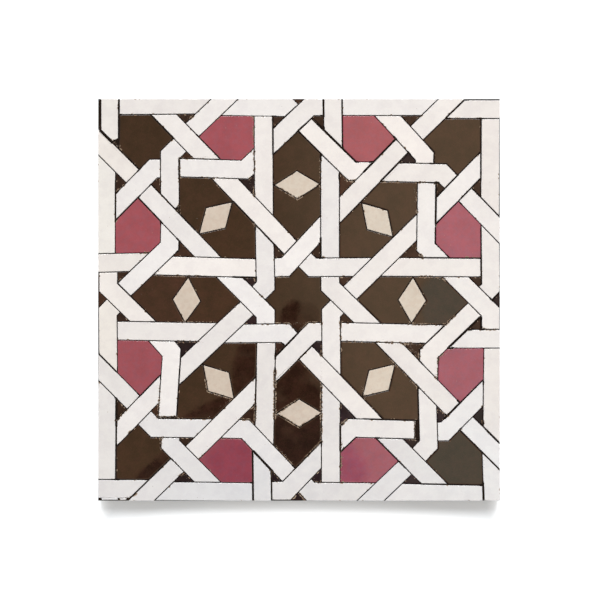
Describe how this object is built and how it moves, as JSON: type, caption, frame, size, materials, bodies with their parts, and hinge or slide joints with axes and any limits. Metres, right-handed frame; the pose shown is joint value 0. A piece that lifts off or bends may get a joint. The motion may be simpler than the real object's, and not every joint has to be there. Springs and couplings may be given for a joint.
{
  "type": "moroccan mosaic tile",
  "caption": "Square hand-cut mosaic tile of glazed clay pieces in mortar, with white straps woven round a central star and brown, rose and cream fields.",
  "frame": {"origin": "middle of the flat back, under the middle of the tile", "axes": "+Z out of the glazed face, +Y towards the edge that is uppermost in the picture, +X to its right"},
  "size_m": [0.3, 0.3, 0.016],
  "materials": {
    "mortar": "matte",
    "white_glaze": "gloss",
    "brown_glaze": "gloss",
    "rose_glaze": "gloss",
    "cream_glaze": "gloss"
  },
  "bodies": {
    "root": {"mortar_bed": "mortar", "centre_star": "brown_glaze", "lozenge_north": "cream_glaze", "lozenge_northeast": "cream_glaze", "lozenge_east": "cream_glaze", "lozenge_southeast": "cream_glaze", "lozenge_south": "cream_glaze", "lozenge_southwest": "cream_glaze", "lozenge_west": "cream_glaze", "lozenge_northwest": "cream_glaze", "hexagon_north_inner": "brown_glaze", "hexagon_north_outer": "brown_glaze", "hexagon_northeast_inner": "brown_glaze", "hexagon_northeast_outer": "brown_glaze", "hexagon_east_inner": "brown_glaze", "hexagon_east_outer": "brown_glaze", "hexagon_southeast_inner": "brown_glaze", "hexagon_southeast_outer": "brown_glaze", "hexagon_south_inner": "brown_glaze", "hexagon_south_outer": "brown_glaze", "hexagon_southwest_inner": "brown_glaze", "hexagon_southwest_outer": "brown_glaze", "hexagon_west_inner": "brown_glaze", "hexagon_west_outer": "brown_glaze", "hexagon_northwest_inner": "brown_glaze", "hexagon_northwest_outer": "brown_glaze", "rose_west_left": "rose_glaze", "rose_west_right": "rose_glaze", "rose_north_left": "rose_glaze", "rose_north_right": "rose_glaze", "rose_east_left": "rose_glaze", "rose_east_right": "rose_glaze", "rose_south_left": "rose_glaze", "rose_south_right": "rose_glaze", "corner_west": "brown_glaze", "corner_north": "brown_glaze", "corner_east": "brown_glaze", "corner_south": "brown_glaze", "star_left_strap_west": "white_glaze", "star_left_strap_north": "white_glaze", "star_left_strap_east": "white_glaze", "star_left_strap_south": "white_glaze", "star_right_strap_west": "white_glaze", "star_right_strap_north": "white_glaze", "star_right_strap_east": "white_glaze", "star_right_strap_south": "white_glaze", "ring_rising_strap_west": "white_glaze", "ring_rising_strap_north": "white_glaze", "ring_rising_strap_east": "white_glaze", "ring_rising_strap_south": "white_glaze", "ring_falling_strap_west": "white_glaze", "ring_falling_strap_north": "white_glaze", "ring_falling_strap_east": "white_glaze", "ring_falling_strap_south": "white_glaze", "chips_west": "brown_glaze", "chips_north": "brown_glaze", "chips_east": "brown_glaze", "chips_south": "brown_glaze"}
  },
  "joints": []
}
